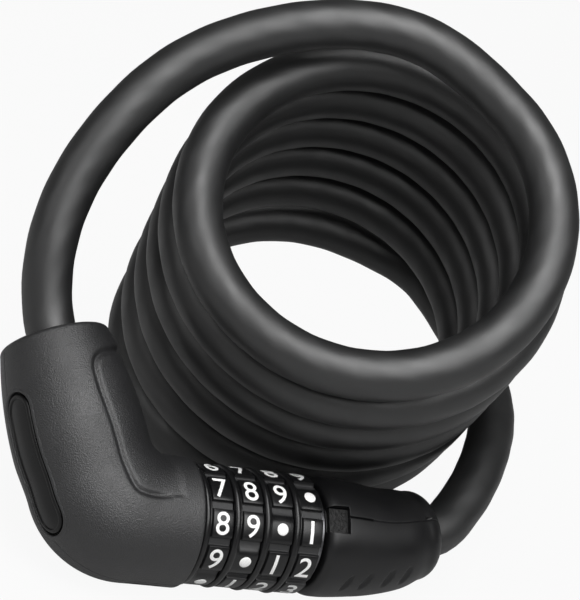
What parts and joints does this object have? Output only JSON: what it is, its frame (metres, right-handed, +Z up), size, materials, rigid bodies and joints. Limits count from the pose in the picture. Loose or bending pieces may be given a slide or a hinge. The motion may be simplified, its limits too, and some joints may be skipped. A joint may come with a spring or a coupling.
{
  "type": "coiled cable combination lock",
  "caption": "Coiled vinyl-covered steel cable between an L-shaped lock head with number dials and the plug that slides into it.",
  "frame": {"origin": "centre of the small flat under the lock head, on the ground, below the barrel axis", "axes": "+X along the barrel axis from the elbow towards the plug, +Y towards the coil, +Z up"},
  "size_m": [0.1518, 0.132, 0.1333],
  "materials": {
    "housing": "fine spark-eroded grain, matt with a slight sparkle",
    "badge": "smooth and glossy, bare",
    "core_metal": "die-cast, dull",
    "steel": "plated",
    "bright_ring": "bright turned edge",
    "rope": "stranded rope, cut and crimped",
    "dial": "semi-gloss, filled digits",
    "clutch_brass": "turned",
    "plug_plastic": "satin moulded",
    "insert": "rough, matt",
    "vinyl": "satin vinyl with a faint trace of the strands below"
  },
  "bodies": {
    "head": {"head_shell_front": "housing", "head_shell_rear": "housing", "badge_insert": "badge", "shell_screws": "steel", "lock_core": "core_metal", "core_pin": "steel", "detent_spring": "steel", "end_ring": "bright_ring", "head_ferrule": "steel", "head_rope_end": "rope", "head_lead": "vinyl", "cable_coil": "vinyl"},
    "number_dial_1": {"dial_1": "dial", "clutch_1": "clutch_brass"},
    "number_dial_2": {"dial_2": "dial", "clutch_2": "clutch_brass"},
    "number_dial_3": {"dial_3": "dial", "clutch_3": "clutch_brass"},
    "number_dial_4": {"dial_4": "dial", "clutch_4": "clutch_brass"},
    "plug": {"plug_bolt": "steel", "plug_shell_upper": "plug_plastic", "plug_shell_lower": "plug_plastic", "plug_insert": "insert", "plug_pin": "steel", "plug_ferrule": "steel", "plug_rope_end": "rope", "plug_lead": "vinyl"},
    "code_slide": {"reset_slide": "plug_plastic"}
  },
  "joints": [
    {"name": "dial_1_turn", "type": "hinge", "parent": "head", "child": "number_dial_1", "pos_m": [0, 0, 0.015], "axis": [1, 0, 0], "continuous": true},
    {"name": "dial_2_turn", "type": "hinge", "parent": "head", "child": "number_dial_2", "pos_m": [0, 0, 0.015], "axis": [1, 0, 0], "continuous": true},
    {"name": "dial_3_turn", "type": "hinge", "parent": "head", "child": "number_dial_3", "pos_m": [0, 0, 0.015], "axis": [1, 0, 0], "continuous": true},
    {"name": "dial_4_turn", "type": "hinge", "parent": "head", "child": "number_dial_4", "pos_m": [0, 0, 0.015], "axis": [1, 0, 0], "continuous": true},
    {"name": "plug_slide", "type": "slide", "parent": "head", "child": "plug", "axis": [1, 0, 0], "range_m": [0, 0.06], "deforming": ["plug_lead"]},
    {"name": "code_slide_move", "type": "slide", "parent": "head", "child": "code_slide", "axis": [1, 0, 0], "range_m": [0, 0.002]}
  ]
}
